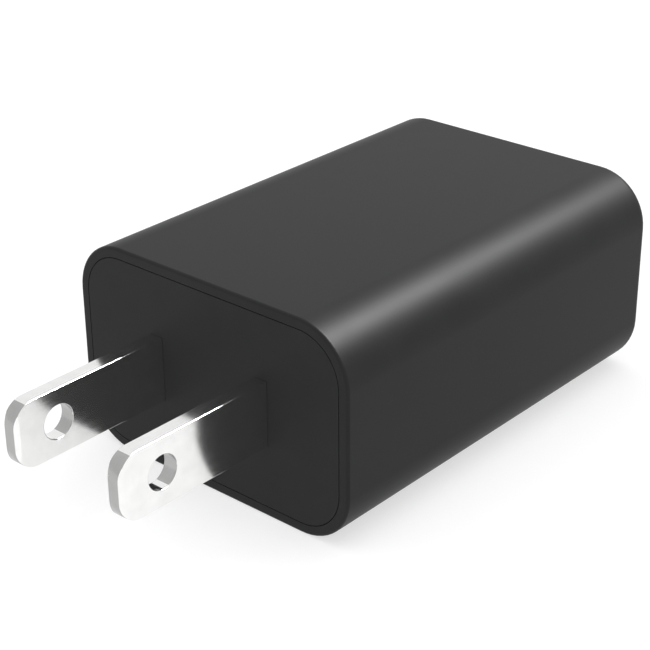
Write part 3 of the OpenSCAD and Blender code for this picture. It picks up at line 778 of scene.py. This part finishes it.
def finish_outside():
    """Blades, housing and blade plate: all that the photograph shows."""
    plate = plated_blade("plated_blade", tone=0.87, roughness=0.1)
    # The cut faces' material is a darker copy of the plating: its higher roughness is the cut
    # metal's own, its low tone is painted shade
    cut = plated_blade("cut_edge_with_painted_shade", tone=0.4, roughness=0.24)
    for node in ("blade_left", "blade_right"):
        finish_blade(node, plate, cut)
    build_housing(charcoal_plastic("charcoal_plastic"))
    paint("blade_plate", charcoal_plastic("charcoal_plate"))
    round_edges("blade_plate", 0.03 * MM)


def finish_port():
    """USB receptacle: sheet shell, white tongue and gold contacts."""
    paint("usb_shell", rolled_sheet())
    round_edges("usb_shell", 0.05 * MM)
    paint("usb_insulator", moulded_plastic("port_plastic", (0.74, 0.74, 0.72), 0.42))
    round_edges("usb_insulator", 0.08 * MM)
    gold = gold_contact()
    paint("contact_tails", gold)
    round_edges("contact_tails", 0.03 * MM)
    for number in (1, 2, 3, 4):
        build_contact(number, gold)


def finish_board_parts(metal):
    """The board and its small parts, and the insulating sheet."""
    epoxy = chip_epoxy()
    glaze = fired_ceramic("resistor_glaze", (0.02, 0.02, 0.022))
    clay = fired_ceramic("capacitor_clay", (0.42, 0.27, 0.15))
    finish_board(board_top(), board_mask())
    finish_chip("bridge_rectifier", epoxy, metal, 1.2 * MM)
    finish_chip("controller_chip", epoxy, metal, 1.1 * MM)
    finish_chip("clamp_diode", epoxy, metal, 1.2 * MM)
    finish_chip("output_diode", epoxy, metal, 1.2 * MM)
    finish_small_chips("chip_resistors", glaze, metal)
    finish_small_chips("chip_capacitors", clay, metal)
    paint("component_leads", metal)
    paint("transformer_pins", metal)
    paint("solder_joints", solder())
    paint("y_capacitor", dipped_coat())
    paint("fuse_resistor", glazed_rod())
    paint("fuse_sleeve", rubber("shrink_sleeve", (0.016, 0.016, 0.018)))
    round_edges("fuse_sleeve", 0.05 * MM)
    paint("insulating_sheet", fish_paper())
    round_edges("insulating_sheet", 0.03 * MM)


def finish_capacitors():
    """Input capacitors lying along X and output capacitors standing up."""
    metal = can_aluminium()
    bung = rubber("rubber_bung", (0.03, 0.027, 0.025))
    bulk = printed_sleeve("bulk_sleeve", (0.03, 0.035, 0.045), (0.5, 0.5, 0.5), "Z")
    output = printed_sleeve("output_sleeve", (0.02, 0.1, 0.06), (0.6, 0.58, 0.4), "Y")
    for side, name in ((-1, "left"), (1, "right")):
        finish_can(f"bulk_capacitor_{name}", bulk, metal, axis=0, closed_side=side)
        finish_can(f"output_capacitor_{name}", output, metal, axis=2, closed_side=1)
        paint(f"bulk_seal_{name}", bung)
        paint(f"output_seal_{name}", bung)


def finish_coils():
    """Transformer and choke."""
    core = ferrite()
    tape = polyester_tape()
    for node in ("core_front", "core_rear", "choke_core"):
        paint(node, core)
        round_edges(node, 0.12 * MM)
    paint("transformer_bobbin", moulded_plastic("bobbin_resin", (0.016, 0.028, 0.022), 0.5))
    round_edges("transformer_bobbin", 0.08 * MM)
    primary = wound_layer("primary_turns", (0.62, 0.24, 0.08), 4500, metallic=1.0, roughness=0.3)
    secondary = wound_layer("secondary_turns", (0.75, 0.5, 0.08), 1800, metallic=0.0, roughness=0.4)
    paint("primary_winding", primary)
    paint("secondary_winding", secondary)
    paint("winding_tape", tape)
    paint("core_tape", tape)
    round_edges("core_tape", 0.02 * MM)
    build_choke_coil(enamelled_copper())


def finish_lead(node, jacket, metal):
    """Jacketed wire, bare where it goes through the blade's eye and into the board."""
    bare_at_eye = 2.3 * MM
    bare_at_board = 0.5 * MM
    paint(node, jacket, metal)
    low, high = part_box(node)
    eye_end = min(abs(low.x), abs(high.x)) + bare_at_eye - PAINT_MARGIN
    board_end = board_high.z + bare_at_board - PAINT_MARGIN
    paint_faces(node, lambda face: abs(face.center.x) < eye_end or face.center.z < board_end)


def finish_leads(metal):
    """Red live lead and black neutral lead."""
    finish_lead("live_lead", wire_jacket("live_jacket", (0.36, 0.02, 0.015)), metal)
    finish_lead("neutral_lead", wire_jacket("neutral_jacket", (0.02, 0.021, 0.023)), metal)


# --- stage ------------------------------------------------------------------------------

def build_camera():
    """Looks from 41 degrees to the right of the plug end and 26 degrees up."""
    azimuth = math.radians(41.36)
    elevation = math.radians(26.4)
    roll = math.radians(-0.46)
    distance = 160.6 * MM
    target = Vector((0.45, 0.87, 11.12)) * MM
    level = math.cos(elevation)
    back = Vector((math.sin(azimuth) * level, -math.cos(azimuth) * level, math.sin(elevation)))
    data = bpy.data.cameras.new("camera")
    data.sensor_width = 36
    data.lens = 95
    data.clip_start = 0.005
    data.clip_end = 20
    camera = add_object("camera", data)
    camera.location = target + back * distance
    look = back.to_track_quat("Z", "Y").to_matrix().to_4x4()
    camera.rotation_euler = (look @ Matrix.Rotation(roll, 4, "Z")).to_euler()
    bpy.context.scene.camera = camera


def build_floor():
    """Pale paper that glows a little, so that it stays as white as the photograph's."""
    reach = 3.0
    corners = [(-reach, -reach, 0), (reach, -reach, 0), (reach, reach, 0), (-reach, reach, 0)]
    mesh = bpy.data.meshes.new("floor")
    mesh.from_pydata(corners, [], [(0, 1, 2, 3)])
    surface = Surface("floor_paper", (0.45, 0.45, 0.45), 0.8, specular=0.0)
    surface.shader.inputs["Emission Color"].default_value = (1, 1, 1, 1)
    surface.shader.inputs["Emission Strength"].default_value = 0.6
    surface.bump(surface.noise(even(300)), 0.02 * MM, 0.3)
    mesh.materials.append(surface.material)
    add_object("floor", mesh)


def area_light(name, direction, distance, side, power, gloss_only=False):
    """Square lamp that faces the middle of the body."""
    data = bpy.data.lights.new(name, "AREA")
    data.shape = "SQUARE"
    data.size = side
    data.energy = power
    light = add_object(name, data)
    direction = Vector(direction).normalized()
    light.location = Vector((0, 0, mid_z)) + direction * distance
    light.rotation_euler = direction.to_track_quat("Z", "Y").to_euler()
    light.visible_diffuse = not gloss_only


def build_lights():
    """White surroundings, a weak lamp above and one that draws the light band on the edge."""
    world = bpy.data.worlds.new("studio")
    world.use_nodes = True
    background = world.node_tree.nodes["Background"]
    background.inputs["Color"].default_value = (1, 1, 1, 1)
    background.inputs["Strength"].default_value = 0.95
    bpy.context.scene.world = world
    area_light("overhead", (0, 0.15, 1), distance=0.6, side=0.7, power=1.3)
    area_light("edge_gloss", (0.31, 0.46, 0.84), distance=1.5, side=0.75, power=128,
               gloss_only=True)
    bpy.context.scene.view_settings.view_transform = "Standard"


tinned = tinned_metal()
finish_outside()
finish_port()
finish_board_parts(tinned)
finish_capacitors()
finish_coils()
finish_leads(tinned)
build_camera()
build_floor()
build_lights()
